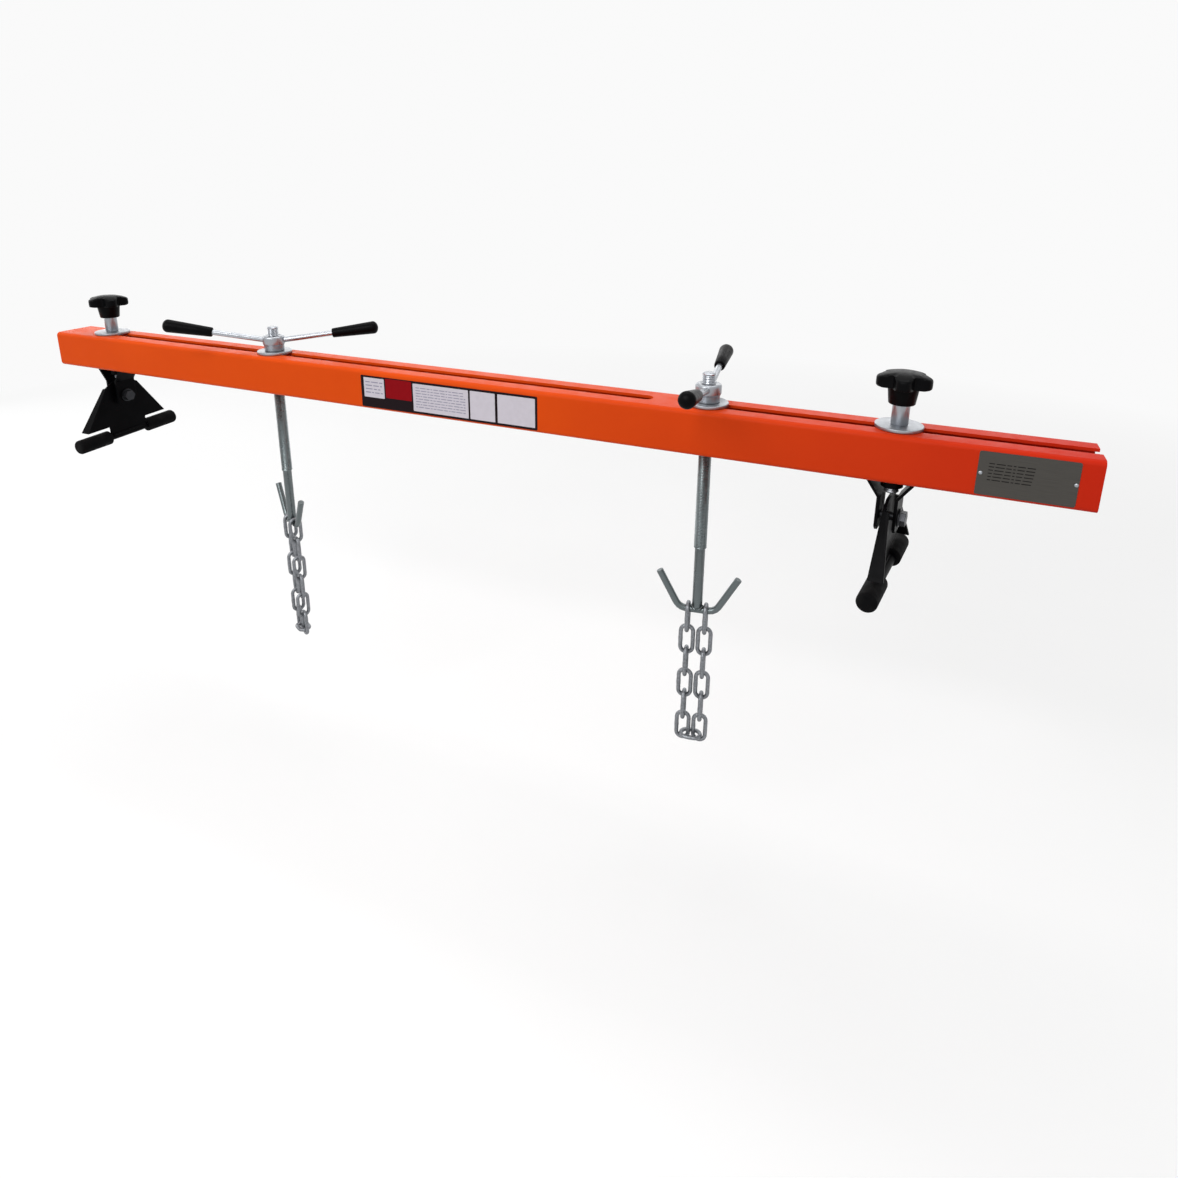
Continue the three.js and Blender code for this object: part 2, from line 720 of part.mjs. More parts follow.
function lift(side, x, handleDegrees, hookDegrees) {
  const carriage = new THREE.Group();
  carriage.name = `${side}_lift`;
  carriage.position.x = x;
  const handle = new THREE.Group();
  handle.name = `${side}_handle`;
  handle.position.z = beamTopZ + 2 * restGap + slideWasherThickness;
  handle.rotation.z = degrees(handleDegrees);
  handle.add(
    handleNut(side),
    ...levers.map((lever) => leverRod(side, lever)),
    ...levers.map((lever) => leverGrip(side, lever)),
  );
  const hanging = new THREE.Group();
  hanging.name = `${side}_hanger`;
  hanging.rotation.z = degrees(hookDegrees);
  hanging.add(liftingScrew(side), doubleHook(side), chainLoop(side));
  carriage.add(
    washer(`${side}_slide_washer`, slideWasherRadius, slideWasherThickness, screwRadius + threadGap),
    handle,
    hanging,
  );
  return carriage;
}

const engineSupportBar = new THREE.Group();
engineSupportBar.name = 'engine_support_bar';
engineSupportBar.add(
  beamTube(),
  support('left', leftSupportX, leftKnobDegrees, leftFoldFacing, leftTiltDegrees, leftSwivelDegrees),
  support('right', rightSupportX, rightKnobDegrees, rightFoldFacing, rightTiltDegrees, rightSwivelDegrees),
  lift('left', leftLiftX, leftHandleDegrees, leftHookDegrees),
  lift('right', rightLiftX, rightHandleDegrees, rightHookDegrees),
);

export default engineSupportBar;
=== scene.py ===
"""Dresses the engine support bar with finer pieces and procedural finishes, and sets its stage."""

import json
import math

import bmesh
import bpy
from bpy.props import FloatProperty, FloatVectorProperty, IntProperty, PointerProperty
from bpy.types import Operator, Panel, PropertyGroup
from mathutils import Matrix, Vector


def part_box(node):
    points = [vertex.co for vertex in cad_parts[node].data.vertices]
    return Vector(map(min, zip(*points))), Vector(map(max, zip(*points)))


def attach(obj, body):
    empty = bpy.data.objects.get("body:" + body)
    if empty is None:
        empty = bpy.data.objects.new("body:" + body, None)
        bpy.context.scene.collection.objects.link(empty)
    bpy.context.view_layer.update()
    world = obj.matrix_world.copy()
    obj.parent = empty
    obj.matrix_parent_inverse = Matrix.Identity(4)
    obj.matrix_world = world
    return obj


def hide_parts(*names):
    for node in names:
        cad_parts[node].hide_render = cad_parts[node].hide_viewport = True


bl_info = {
    "name": "Engine Support Bar",
    "version": (1, 0, 0),
    "blender": (4, 5, 0),
    "location": "3D Viewport > Sidebar > Support Bar",
    "description": "Builds the finished pieces, stage and camera of an engine support bar",
    "category": "Object",
}

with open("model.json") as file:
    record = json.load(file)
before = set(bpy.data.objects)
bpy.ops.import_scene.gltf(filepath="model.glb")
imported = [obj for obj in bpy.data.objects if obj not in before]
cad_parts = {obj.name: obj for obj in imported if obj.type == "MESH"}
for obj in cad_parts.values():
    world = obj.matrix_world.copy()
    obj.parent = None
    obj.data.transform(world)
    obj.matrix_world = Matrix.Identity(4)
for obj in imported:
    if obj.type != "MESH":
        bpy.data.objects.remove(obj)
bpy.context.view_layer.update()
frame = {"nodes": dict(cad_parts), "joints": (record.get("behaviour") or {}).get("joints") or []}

SIDES = ("left", "right")
UP = Vector((0, 0, 1))

# name, size, place and target of each light
LAMPS = (
    ("key", (2.6, 1.6), (-0.4, -2.7, 1.9), (0, 0, 0)),
    ("side", (1.6, 1.8), (-2.8, 0.5, 0.3), (0, 0, -0.1)),
    ("top", (3.2, 1.4), (0, 0.5, 2.6), (0, 0, 0)),
    ("back", (5.4, 0.8), (-1.2, 3.2, 1.0), (0, 0, 0)),
)


# Settings


class BarFinish(PropertyGroup):
    """Colours of the surfaces."""

    # The right end's paint colour is darker than the left end's as painted shade, where the light from the
    # left falls off; it is also redder.
    paint_left: FloatVectorProperty(
        name="Paint, left end", description="Powder coat at the left end",
        subtype="COLOR", size=3, min=0, max=1, default=(0.76, 0.080, 0.006))
    paint_right: FloatVectorProperty(
        name="Paint, right end", description="Powder coat at the right end",
        subtype="COLOR", size=3, min=0, max=1, default=(0.60, 0.021, 0.0075))
    zinc: FloatVectorProperty(
        name="Zinc", description="Bright zinc plate", subtype="COLOR", size=3, min=0, max=1,
        default=(0.345, 0.36, 0.385))
    dull_zinc: FloatVectorProperty(
        name="Dull zinc", description="Plain steel and dull zinc", subtype="COLOR", size=3, min=0, max=1,
        default=(0.165, 0.19, 0.195))
    black: FloatVectorProperty(
        name="Black", description="Plastic, rubber and black coat", subtype="COLOR", size=3, min=0, max=1,
        default=(0.0022, 0.0022, 0.0026))


class BarDetail(PropertyGroup):
    """Sizes of what the scene adds to the solids."""

    edge_round: FloatProperty(
        name="Edge round", description="Rounding of cut steel edges", default=0.0006, min=0,
        unit="LENGTH")
    thread_pitch: FloatProperty(
        name="Thread pitch", description="Rise of the screw threads in one turn", default=0.002, min=0.0005,
        unit="LENGTH")
    thread_depth: FloatProperty(
        name="Thread depth", description="Depth of the screw threads", default=0.0011, min=0,
        unit="LENGTH")
    thread_length: FloatProperty(
        name="Thread length", description="Threaded length of a lifting screw from its top", default=0.225,
        unit="LENGTH")
    label_start: FloatProperty(
        name="Label start", description="Left edge of the label along the beam", default=-0.1335,
        unit="LENGTH")
    label_end: FloatProperty(
        name="Label end", description="Right edge of the label along the beam", default=0.137,
        unit="LENGTH")
    label_height: FloatProperty(
        name="Label height", description="Height of the label", default=0.0445, unit="LENGTH")
    label_middle: FloatProperty(
        name="Label middle", description="Height of the label's middle", default=-0.0015, unit="LENGTH")
    plate_start: FloatProperty(
        name="Plate start", description="Left edge of the rating plate", default=0.6386, unit="LENGTH")
    plate_end: FloatProperty(
        name="Plate end", description="Right edge of the rating plate", default=0.7298, unit="LENGTH")
    plate_height: FloatProperty(
        name="Plate height", description="Height of the rating plate", default=0.047, unit="LENGTH")
    clamp_washer_radius: FloatProperty(
        name="Clamp washer", description="Radius of the washers under the knobs", default=0.0255,
        unit="LENGTH")
    slide_washer_radius: FloatProperty(
        name="Slide washer", description="Radius of the washers under the handle nuts", default=0.0245,
        unit="LENGTH")
    weld_radius: FloatProperty(
        name="Weld radius", description="Half width of the weld beads", default=0.0022, unit="LENGTH")
    knob_lobes: IntProperty(
        name="Knob lobes", description="Lobes round each star knob", default=5, min=3, max=8)
    knob_turn_left: FloatProperty(
        name="Left knob turn", description="Turned position of the left knob", default=-0.4189,
        unit="ROTATION")
    knob_turn_right: FloatProperty(
        name="Right knob turn", description="Turned position of the right knob", default=-0.3142,
        unit="ROTATION")
    lever_tilt_one: FloatProperty(
        name="First lever tilt", description="Upward tilt of the first lever of each nut", default=0.1152,
        unit="ROTATION")
    lever_tilt_two: FloatProperty(
        name="Second lever tilt", description="Upward tilt of the second lever of each nut", default=0.1815,
        unit="ROTATION")


class BarStage(PropertyGroup):
    """Camera, floor and light."""

    camera_place: FloatVectorProperty(
        name="Camera place", description="Camera position", subtype="XYZ", size=3, unit="LENGTH",
        default=(0.569, -0.8976, 0.2935))
    yaw: FloatProperty(
        name="Yaw", description="Turn of the camera to the left", default=0.3963, unit="ROTATION")
    pitch: FloatProperty(
        name="Pitch", description="Tilt of the camera down", default=0.2847, unit="ROTATION")
    roll: FloatProperty(
        name="Roll", description="Roll of the camera", default=0.0093, unit="ROTATION")
    lens: FloatProperty(name="Lens", description="Focal length in millimetres", default=24.525, min=1)
    shift_y: FloatProperty(name="Shift", description="Vertical shift of the picture", default=-0.1565)
    floor_z: FloatProperty(
        name="Floor", description="Height of the floor", default=-0.62, unit="LENGTH")
    floor_radius: FloatProperty(
        name="Floor radius", description="Reach of the floor", default=14, unit="LENGTH")
    fade_start: FloatProperty(
        name="Fade start", description="Where the floor starts to run out into white", default=1.0,
        unit="LENGTH")
    fade_end: FloatProperty(
        name="Fade end", description="Where the floor has run out into white", default=3.2,
        unit="LENGTH")
    key_power: FloatProperty(
        name="Key light", description="Power of the main light", default=73, min=0)
    side_power: FloatProperty(
        name="Side light", description="Power of the light on the left", default=16, min=0)
    top_power: FloatProperty(
        name="Top light", description="Power of the overhead light", default=39, min=0)
    back_power: FloatProperty(
        name="Back light", description="Power of the light behind", default=24, min=0)
    sky: FloatProperty(
        name="Sky", description="Strength of the light from all round", default=0.3, min=0)
    white: FloatProperty(
        name="White", description="Level of the white behind the object", default=0.955, min=0)
    floor_glow: FloatProperty(
        name="Floor glow", description="Light that the floor shows by itself", default=0.375, min=0)


# Mesh helpers


def add_object(name, mesh):
    """A new object in the scene."""
    obj = bpy.data.objects.new(name, mesh)
    bpy.context.collection.objects.link(obj)
    return obj


def smooth(mesh, sharp_degrees=35):
    """Smooth shading that breaks at sharp edges."""
    mesh.polygons.foreach_set("use_smooth", [True] * len(mesh.polygons))
    mesh.set_sharp_from_angle(angle=math.radians(sharp_degrees))
    mesh.update()


def mesh_piece(name, verts, faces, material, place=None, sharp_degrees=35):
    """A closed mesh made of points and faces, moved to its place."""
    mesh = bpy.data.meshes.new(name)
    mesh.from_pydata([tuple(v) for v in verts], [], faces)
    if place is not None:
        mesh.transform(place)
    bm = bmesh.new()
    bm.from_mesh(mesh)
    bmesh.ops.remove_doubles(bm, verts=bm.verts, dist=1e-7)
    bmesh.ops.recalc_face_normals(bm, faces=bm.faces)
    bm.to_mesh(mesh)
    bm.free()
    smooth(mesh, sharp_degrees)
    mesh.materials.append(material)
    return add_object(name, mesh)


def dressed_copy(node, material, edge_round=0.0, segments=2):
    """A copy of a CAD node with clean flat faces, smooth curves and slightly rounded edges."""
    mesh = frame["nodes"][node].data.copy()
    mesh.name = f"{node}_dressed"
    bm = bmesh.new()
    bm.from_mesh(mesh)
    bmesh.ops.remove_doubles(bm, verts=bm.verts, dist=1e-6)
    bmesh.ops.dissolve_limit(bm, angle_limit=math.radians(0.6), verts=bm.verts, edges=bm.edges)
    bm.to_mesh(mesh)
    bm.free()
    if "custom_normal" in mesh.attributes:
        mesh.attributes.remove(mesh.attributes["custom_normal"])
    smooth(mesh)
    mesh.materials.clear()
    mesh.materials.append(material)
    obj = add_object(f"{node}_dressed", mesh)
    if edge_round > 0:
        bevel = obj.modifiers.new("edge_round", "BEVEL")
        bevel.width = edge_round
        bevel.segments = segments
        bevel.limit_method = "ANGLE"
        bevel.angle_limit = math.radians(38)
        bevel.use_clamp_overlap = True
        bevel.harden_normals = True
    return obj


def grid_faces(rows, columns, closed_rows=False):
    """Faces between rings of points, each ring closed on itself."""
    faces = []
    last = rows if closed_rows else rows - 1
    for i in range(last):
        for j in range(columns):
            a = i * columns + j
            b = i * columns + (j + 1) % columns
            c = ((i + 1) % rows) * columns + (j + 1) % columns
            d = ((i + 1) % rows) * columns + j
            faces.append((a, b, c, d))
    return faces


def plain_ring(radius, height, segments=32):
    """A level ring of points round the Z axis."""
    ring = []
    for j in range(segments):
        angle = 2 * math.pi * j / segments
        ring.append((radius * math.cos(angle), radius * math.sin(angle), height))
    return ring


def lathe(name, profile, material, place=None, segments=48, sharp_degrees=35):
    """A turned solid: profile is (radius, height) from the bottom axis point to the top one."""
    verts = []
    for radius, height in profile:
        verts += plain_ring(radius, height, segments)
    faces = grid_faces(len(profile), segments)
    faces.append(tuple(range(segments)))
    faces.append(tuple(range(len(verts) - segments, len(verts))))
    return mesh_piece(name, verts, faces, material, place, sharp_degrees)


def rounded_corner(radius, height, round_radius, start, end, steps=5):
    """Profile points of a rounded edge whose arc centre lies inside by its radius."""
    points = []
    for i in range(steps + 1):
        angle = math.radians(start + (end - start) * i / steps)
        points.append((radius - round_radius + round_radius * math.cos(angle),
                       height + round_radius * math.sin(angle)))
    return points


def aim(origin, direction, roll_to=None):
    """A placing matrix with its Z along direction and its origin at origin."""
    z = Vector(direction).normalized()
    x = roll_to or UP.orthogonal()
    if abs(x.dot(z)) > 0.99:
        x = Vector((1, 0, 0))
    y = z.cross(x).normalized()
    x = y.cross(z).normalized()
    turn = Matrix((x, y, z)).transposed().to_4x4()
    return Matrix.Translation(origin) @ turn


def centre(node):
    """Middle of a CAD node's box."""
    low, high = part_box(node)
    return (low + high) / 2


def joint_axis(name):
    """The axis of a named joint in the frame."""
    for joint in frame["joints"]:
        if joint["name"] == name:
            return Vector(joint["axis"]).normalized()
    raise RuntimeError(f"no joint named {name}")


def finish_piece(obj, body, slot, *nodes):
    """Ties a piece to its body and hides the nodes that it stands for; the slot is not used."""
    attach(obj, body)
    if nodes:
        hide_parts(*nodes)
    return obj


# Surface helpers


def surface(build):
    """The surface that a function builds, built once and named after it."""
    name = f"{build.__name__}_surface"
    if name not in bpy.data.materials:
        material = bpy.data.materials.new(name)
        material.use_nodes = True
        build(material.node_tree, material.node_tree.nodes["Principled BSDF"])
    return bpy.data.materials[name]


def noise(tree, scale, detail=3.0, roughness=0.5, stretch=None):
    """Noise in object space, scale in features per metre."""
    place = tree.nodes.new("ShaderNodeTexCoord")
    texture = tree.nodes.new("ShaderNodeTexNoise")
    texture.inputs["Scale"].default_value = scale
    texture.inputs["Detail"].default_value = detail
    texture.inputs["Roughness"].default_value = roughness
    if stretch:
        mapping = tree.nodes.new("ShaderNodeMapping")
        mapping.inputs["Scale"].default_value = stretch
        tree.links.new(place.outputs["Object"], mapping.inputs["Vector"])
        tree.links.new(mapping.outputs["Vector"], texture.inputs["Vector"])
    else:
        tree.links.new(place.outputs["Object"], texture.inputs["Vector"])
    return texture.outputs["Fac"]


def object_place(tree, axis):
    """Place along one axis in object space, in metres."""
    place = tree.nodes.new("ShaderNodeTexCoord")
    split = tree.nodes.new("ShaderNodeSeparateXYZ")
    tree.links.new(place.outputs["Object"], split.inputs["Vector"])
    return split.outputs[axis]


def spread(tree, value, low, high, start=0.3, end=0.7):
    """Maps a value between start and end onto low to high."""
    node = tree.nodes.new("ShaderNodeMapRange")
    node.inputs["From Min"].default_value = start
    node.inputs["From Max"].default_value = end
    node.inputs["To Min"].default_value = low
    node.inputs["To Max"].default_value = high
    tree.links.new(value, node.inputs["Value"])
    return node.outputs["Result"]


def mixed(tree, amount, first, second):
    """A colour between two colours or colour sockets."""
    node = tree.nodes.new("ShaderNodeMix")
    node.data_type = "RGBA"
    for key, colour in (("A", first), ("B", second)):
        socket = next(s for s in node.inputs if s.name == key and s.type == "RGBA")
        if isinstance(colour, bpy.types.NodeSocket):
            tree.links.new(colour, socket)
        else:
            socket.default_value = (*colour, 1)
    factor = next(s for s in node.inputs if s.name == "Factor" and s.type == "VALUE")
    tree.links.new(amount, factor)
    return next(s for s in node.outputs if s.type == "RGBA")


def bump(tree, shader, height, strength, distance):
    """Small relief read from a height."""
    node = tree.nodes.new("ShaderNodeBump")
    node.inputs["Strength"].default_value = strength
    node.inputs["Distance"].default_value = distance
    tree.links.new(height, node.inputs["Height"])
    tree.links.new(node.outputs["Normal"], shader.inputs["Normal"])


def scaled(colour, factor):
    """A lighter or darker colour of the same hue."""
    return tuple(min(1.0, c * factor) for c in colour)


def orange_powder_coat(tree, shader):
    """Powder coat with fine orange peel and faint mottling, orange at the left end and darker red at the
    right, the darkening being painted shade.
    """
    finish = bpy.context.scene.bar_finish
    # Painted shade: the coat grows darker from the left end to the right end, standing in for light that
    # falls off away from the left; it also turns redder there.
    along = spread(tree, object_place(tree, "X"), 0.0, 1.0, 0.1, 0.78)
    base = mixed(tree, along, finish.paint_left, finish.paint_right)
    mottle = spread(tree, noise(tree, 14, 4), 0.0, 0.10)
    tone = mixed(tree, mottle, base, scaled(finish.paint_right, 0.75))
    tree.links.new(tone, shader.inputs["Base Color"])
    tree.links.new(spread(tree, noise(tree, 60, 5), 0.34, 0.46), shader.inputs["Roughness"])
    shader.inputs["Specular IOR Level"].default_value = 0.045
    bump(tree, shader, noise(tree, 900, 2), 0.12, 0.0004)


def black_powder_coat(tree, shader):
    """Satin black powder coat with a fine grain."""
    finish = bpy.context.scene.bar_finish
    cloud = spread(tree, noise(tree, 45, 4), 0.0, 1.0)
    colour = mixed(tree, cloud, scaled(finish.black, 0.8), scaled(finish.black, 1.7))
    tree.links.new(colour, shader.inputs["Base Color"])
    tree.links.new(spread(tree, noise(tree, 120, 4), 0.3, 0.42), shader.inputs["Roughness"])
    shader.inputs["Specular IOR Level"].default_value = 0.03
    bump(tree, shader, noise(tree, 1100, 2), 0.15, 0.0004)


def black_plastic(tree, shader):
    """Black moulded plastic with a spark-eroded grain."""
    finish = bpy.context.scene.bar_finish
    cloud = spread(tree, noise(tree, 80, 3), 0.0, 1.0)
    colour = mixed(tree, cloud, scaled(finish.black, 0.7), scaled(finish.black, 1.4))
    tree.links.new(colour, shader.inputs["Base Color"])
    tree.links.new(spread(tree, noise(tree, 200, 3), 0.30, 0.42), shader.inputs["Roughness"])
    shader.inputs["Specular IOR Level"].default_value = 0.045
    bump(tree, shader, noise(tree, 2200, 1), 0.2, 0.0003)


def black_rubber(tree, shader):
    """Matt black rubber, a little dusty."""
    finish = bpy.context.scene.bar_finish
    dust = spread(tree, noise(tree, 70, 5), 0.0, 0.16, 0.45, 0.75)
    colour = mixed(tree, dust, finish.black, (0.045, 0.043, 0.041))
    tree.links.new(colour, shader.inputs["Base Color"])
    tree.links.new(spread(tree, noise(tree, 90, 3), 0.62, 0.8), shader.inputs["Roughness"])
    shader.inputs["Specular IOR Level"].default_value = 0.06
    bump(tree, shader, noise(tree, 700, 3), 0.3, 0.0005)


def plated(tree, shader, colour, low_roughness, high_roughness):
    """Zinc plate: metallic, with faint cloudy patches and fine scratches."""
    patches = spread(tree, noise(tree, 70, 3, 0.5), 0.0, 1.0)
    tone = mixed(tree, patches, scaled(colour, 0.88), scaled(colour, 1.06))
    tree.links.new(tone, shader.inputs["Base Color"])
    shader.inputs["Metallic"].default_value = 0.92
    rough = spread(tree, noise(tree, 120, 3), low_roughness, high_roughness)
    tree.links.new(rough, shader.inputs["Roughness"])
    bump(tree, shader, noise(tree, 1500, 2, 0.5, (1, 1, 0.15)), 0.06, 0.0001)


def bright_zinc(tree, shader):
    """Bright zinc plate on studs, washers and nuts."""
    plated(tree, shader, bpy.context.scene.bar_finish.zinc, 0.3, 0.42)


def dark_steel(tree, shader):
    """Blackened bolt steel that still shines a little."""
    plated(tree, shader, (0.036, 0.037, 0.041), 0.34, 0.48)


def lever_zinc(tree, shader):
    """Zinc plate worn bright by hands."""
    plated(tree, shader, scaled(bpy.context.scene.bar_finish.zinc, 1.2), 0.22, 0.34)


def dull_zinc(tree, shader):
    """Dull zinc on the screws: brighter above the beam, darker on the shank and hook that were welded."""
    finish = bpy.context.scene.bar_finish
    plated(tree, shader, finish.dull_zinc, 0.24, 0.38)
    height = object_place(tree, "Z")
    thread = shader.inputs["Base Color"].links[0].from_socket
    welded = spread(tree, height, 1.0, 0.0, -0.163, -0.155)
    dark = mixed(tree, welded, thread, scaled(finish.dull_zinc, 0.78))
    polished = spread(tree, height, 0.0, 1.0, 0.0, 0.03)
    tree.links.new(mixed(tree, polished, dark, scaled(finish.zinc, 1.1)), shader.inputs["Base Color"])


def galvanised_chain(tree, shader):
    """Galvanised links with a crystalline mottling."""
    finish = bpy.context.scene.bar_finish
    place = tree.nodes.new("ShaderNodeTexCoord")
    crystals = tree.nodes.new("ShaderNodeTexVoronoi")
    crystals.inputs["Scale"].default_value = 420
    tree.links.new(place.outputs["Object"], crystals.inputs["Vector"])
    value = spread(tree, crystals.outputs["Distance"], 0.0, 1.0, 0.1, 0.7)
    tone = mixed(tree, value, scaled(finish.zinc, 0.42), scaled(finish.zinc, 0.72))
    tree.links.new(tone, shader.inputs["Base Color"])
    shader.inputs["Metallic"].default_value = 0.85
    tree.links.new(spread(tree, noise(tree, 300, 3), 0.34, 0.52), shader.inputs["Roughness"])
    bump(tree, shader, noise(tree, 1200, 2), 0.2, 0.0003)


# Pieces of the beam


def flat_panel(name, start, end, low, high, front, back, material, corner=0.001):
    """A thin panel with rounded corners that stands on the beam's front face."""
    outline = []
    for cx, cz, turn in ((end, high, 0), (start, high, 90), (start, low, 180), (end, low, 270)):
        sx = -1 if cx == end else 1
        sz = -1 if cz == high else 1
        for step in range(4):
            angle = math.radians(turn + 30 * step)
            outline.append((cx + sx * corner + corner * math.cos(angle),
                            cz + sz * corner + corner * math.sin(angle)))
    count = len(outline)
    verts = [(x, front, z) for x, z in outline] + [(x, back, z) for x, z in outline]
    faces = [tuple(range(count)), tuple(range(count, 2 * count))]
    faces += [(i, (i + 1) % count, count + (i + 1) % count, count + i) for i in range(count)]
    return mesh_piece(name, verts, faces, material)


def printed_film(tree, shader, colour):
    """Printed film: smooth with faint print mottling."""
    cloud = spread(tree, noise(tree, 160, 3), 0.0, 1.0)
    tone = mixed(tree, cloud, scaled(colour, 0.97), scaled(colour, 1.02))
    tree.links.new(tone, shader.inputs["Base Color"])
    tree.links.new(spread(tree, noise(tree, 60, 2), 0.34, 0.43), shader.inputs["Roughness"])
    shader.inputs["Specular IOR Level"].default_value = 0.045
    bump(tree, shader, noise(tree, 200, 1), 0.03, 0.0001)


def label_border(tree, shader):
    """Dark base film of the label."""
    printed_film(tree, shader, (0.014, 0.008, 0.010))


def label_red(tree, shader):
    """Red block of the label."""
    printed_film(tree, shader, (0.27, 0.004, 0.008))


def label_pale(tree, shader):
    """Pale panels of the label."""
    printed_film(tree, shader, (0.64, 0.60, 0.66))


def label_print(tree, shader):
    """Grey dashes on the label."""
    printed_film(tree, shader, (0.30, 0.29, 0.38))


def plate_print(tree, shader):
    """Dark dashes on the rating plate."""
    printed_film(tree, shader, (0.017, 0.016, 0.015))


def dash_rows(name, start, end, low, high, rows, face, material):
    """Plain dashes of uneven length in rows, where the real object has small print."""
    pitch = (high - low) / rows
    half = pitch * 0.15
    gap = pitch * 0.4
    thickness = 0.00004
    verts, faces = [], []
    for row in range(rows):
        middle = high - pitch * (row + 0.5)
        bottom, top = middle - half, middle + half
        left = start
        while left < end - pitch / 2:
            length = pitch * (1.5 + 0.9 * math.sin(2.1 * row + len(verts)))
            right = min(left + length, end)
            corners = [(left, bottom), (right, bottom), (right, top), (left, top)]
            front = len(verts)
            back = front + len(corners)
            verts += [(x, face - thickness, z) for x, z in corners]
            verts += [(x, face, z) for x, z in corners]
            faces += [tuple(range(front, back)), tuple(range(back, back + 4))]
            for i in range(4):
                after = (i + 1) % 4
                faces.append((front + i, front + after, back + after, back + i))
            left = right + gap
    return mesh_piece(name, verts, faces, material)


def build_beam():
    """The painted tube with slightly rounded slot edges."""
    detail = bpy.context.scene.bar_detail
    beam = dressed_copy("beam_tube", surface(orange_powder_coat), detail.edge_round)
    finish_piece(beam, "beam", "orange_powder_coat", "beam_tube")


def build_label():
    """A label without words: dark border, red block and pale panels, two of them with plain dashes."""
    detail = bpy.context.scene.bar_detail
    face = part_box("beam_tube")[0].y
    start, end = detail.label_start, detail.label_end
    bottom = detail.label_middle - detail.label_height / 2
    top = detail.label_middle + detail.label_height / 2
    width = end - start
    height = top - bottom
    border = surface(label_border)
    red = surface(label_red)
    pale = surface(label_pale)
    film = 0.00012
    base_corner, panel_corner = 0.0015, 0.0008
    base = flat_panel("label_base", start, end, bottom, top, face - film, face + film, border, base_corner)
    finish_piece(base, "beam", "orange_powder_coat")
    # name, left and right as shares of the width, surface, bottom and top as shares of the height
    panels = [
        ("label_head", 0.018, 0.142, pale, 0.32, 0.94),
        ("label_red_block", 0.150, 0.305, red, 0.36, 0.97),
        ("label_wide_panel", 0.314, 0.630, pale, 0.07, 0.93),
        ("label_small_panel_one", 0.640, 0.776, pale, 0.07, 0.93),
        ("label_small_panel_two", 0.790, 0.988, pale, 0.07, 0.93),
    ]
    for name, left, right, material, low, high in panels:
        panel = flat_panel(name, start + left * width, start + right * width,
                           bottom + low * height, bottom + high * height,
                           face - 2 * film, face - film / 2, material, panel_corner)
        finish_piece(panel, "beam", "orange_powder_coat")
    ink = surface(label_print)
    # name, left, right, bottom and top as above, number of rows
    prints = [
        ("label_head_dashes", 0.028, 0.132, 0.42, 0.86, 4),
        ("label_wide_dashes", 0.330, 0.614, 0.17, 0.85, 8),
    ]
    for name, left, right, low, high, rows in prints:
        dashes = dash_rows(name, start + left * width, start + right * width,
                           bottom + low * height, bottom + high * height,
                           rows, face - 2 * film, ink)
        finish_piece(dashes, "beam", "orange_powder_coat")


def rating_plate_metal(tree, shader):
    """Dark brushed plate with long scratches."""
    brushed = spread(tree, noise(tree, 1400, 3, 0.5, (0.03, 1, 1)), 0.0, 1.0)
    tone = mixed(tree, brushed, (0.056, 0.052, 0.046), (0.068, 0.063, 0.056))
    tree.links.new(tone, shader.inputs["Base Color"])
    shader.inputs["Metallic"].default_value = 0.6
    tree.links.new(spread(tree, noise(tree, 90, 3), 0.38, 0.5), shader.inputs["Roughness"])
    bump(tree, shader, brushed, 0.08, 0.0001)


def build_plate():
    """A rating plate without words, with rows of plain dashes, held by two rivets."""
    detail = bpy.context.scene.bar_detail
    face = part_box("beam_tube")[0].y
    start, end = detail.plate_start, detail.plate_end
    half = detail.plate_height / 2
    metal = surface(rating_plate_metal)
    thickness, sink, corner = 0.0006, 0.0001, 0.002
    outside = face - thickness
    plate = flat_panel("rating_plate_sheet", start, end, -half, half, outside, face + sink, metal, corner)
    finish_piece(plate, "beam", "dull_zinc")
    print_start, print_end, rows = start + 0.010, start + 0.052, 6
    dashes = dash_rows("rating_plate_dashes", print_start, print_end, -half * 0.35, half * 0.55,
                       rows, outside, surface(plate_print))
    finish_piece(dashes, "beam", "dull_zinc")
    zinc = surface(bright_zinc)
    for name, x in (("rating_plate_rivet_left", start + 0.0032), ("rating_plate_rivet_right", end - 0.0022)):
        place = aim(Vector((x, outside, 0)), (0, -1, 0))
        rivet = lathe(name, rivet_profile(), zinc, place, 20)
        finish_piece(rivet, "beam", "bright_zinc")


def rivet_profile():
    """Low dome of a rivet head."""
    radius, height = 0.0021, 0.0011
    profile = [(0, 0), (radius, 0)]
    for degrees in (15, 35, 55, 75):
        angle = math.radians(degrees)
        profile.append((radius * math.cos(angle), height * math.sin(angle)))
    profile.append((0, height))
    return profile


# Pieces of the supports


def knob_ring(reach, height, lobes, count, rim_radius=0.030, lobe_depth=0.011, sharpness=30):
    """One level of a knob: the lobed outline, softly cut where the turned outline reach is smaller."""
    ring = []
    for j in range(count):
        angle = 2 * math.pi * j / count
        dip = ((1 - math.cos(lobes * angle)) / 2) ** 1.2
        lobed = rim_radius - lobe_depth * dip
        radius = reach * (1 + (reach / lobed) ** sharpness) ** (-1 / sharpness)
        ring.append((radius * math.cos(angle), radius * math.sin(angle), height))
    return ring


